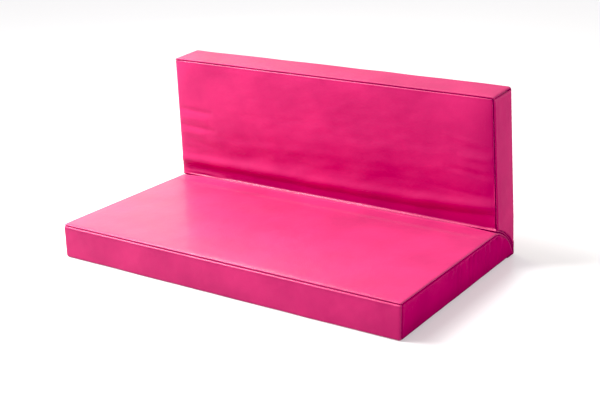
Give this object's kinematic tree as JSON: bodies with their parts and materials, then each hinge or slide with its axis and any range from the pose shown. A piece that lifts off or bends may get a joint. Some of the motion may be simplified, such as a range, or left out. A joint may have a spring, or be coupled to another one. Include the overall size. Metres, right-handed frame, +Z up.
{
  "type": "folding foam seat mat",
  "caption": "Low foam seat mat in coated vinyl: a flat seat panel and a backrest panel that stands on a bulged mitre and folds back flat about a fabric hinge.",
  "frame": {"origin": "on the floor, at the middle of the footprint", "axes": "+X along the length, to the right as seen from the front; +Y from the seat's front edge to the backrest; +Z up"},
  "size_m": [1, 0.605, 0.4468],
  "materials": {
    "vinyl": "satin",
    "base_vinyl": "matte",
    "foam": "matte",
    "zip_cloth": "matte",
    "zip_coil": "satin",
    "zip_metal": "satin"
  },
  "bodies": {
    "seat": {"seat_foam_core": "foam", "seat_top_panel": "vinyl", "seat_front_band": "vinyl", "seat_end_band_left": "vinyl", "seat_end_band_right": "vinyl", "seat_base_panel": "base_vinyl", "seat_base_rear_panel": "base_vinyl", "seat_hinge_strip": "vinyl", "seat_zip_tape_front": "zip_cloth", "seat_zip_tape_rear": "zip_cloth", "seat_zip_teeth_front": "zip_coil", "seat_zip_teeth_rear": "zip_coil", "seat_zip_stops": "zip_metal"},
    "seat_zip_slider": {"seat_zip_slider": "zip_metal"},
    "seat_zip_pull": {"seat_zip_pull": "zip_metal"},
    "backrest": {"backrest_foam_core": "foam", "backrest_front_panel": "vinyl", "backrest_top_band": "vinyl", "backrest_end_band_left": "vinyl", "backrest_end_band_right": "vinyl", "backrest_rear_panel": "vinyl", "backrest_lower_rear_panel": "vinyl", "backrest_mitre_panel": "vinyl", "backrest_hinge_strip": "vinyl", "backrest_zip_tape_upper": "zip_cloth", "backrest_zip_tape_lower": "zip_cloth", "backrest_zip_teeth_upper": "zip_coil", "backrest_zip_teeth_lower": "zip_coil", "backrest_zip_stops": "zip_metal"},
    "backrest_zip_slider": {"backrest_zip_slider": "zip_metal"},
    "backrest_zip_pull": {"backrest_zip_pull": "zip_metal"}
  },
  "joints": [
    {"name": "backrest_fold", "type": "hinge", "parent": "seat", "child": "backrest", "pos_m": [0, 0.3019, 0.0006], "axis": [-1, 0, 0], "range_deg": [0, 93.4]},
    {"name": "seat_zip_slide", "type": "slide", "parent": "seat", "child": "seat_zip_slider", "axis": [-1, 0, 0], "range_m": [0, 0.918]},
    {"name": "seat_zip_pull_turn", "type": "hinge", "parent": "seat_zip_slider", "child": "seat_zip_pull", "pos_m": [0.459, 0.2145, 0.0029], "axis": [0, -1, 0], "range_deg": [0, 180]},
    {"name": "backrest_zip_slide", "type": "slide", "parent": "backrest", "child": "backrest_zip_slider", "axis": [-1, 0, 0], "range_m": [0, 0.918]},
    {"name": "backrest_zip_pull_turn", "type": "hinge", "parent": "backrest_zip_slider", "child": "backrest_zip_pull", "pos_m": [0.459, 0.29439, 0.08831], "axis": [0, 0.0593, -0.9982], "range_deg": [0, 180]}
  ]
}
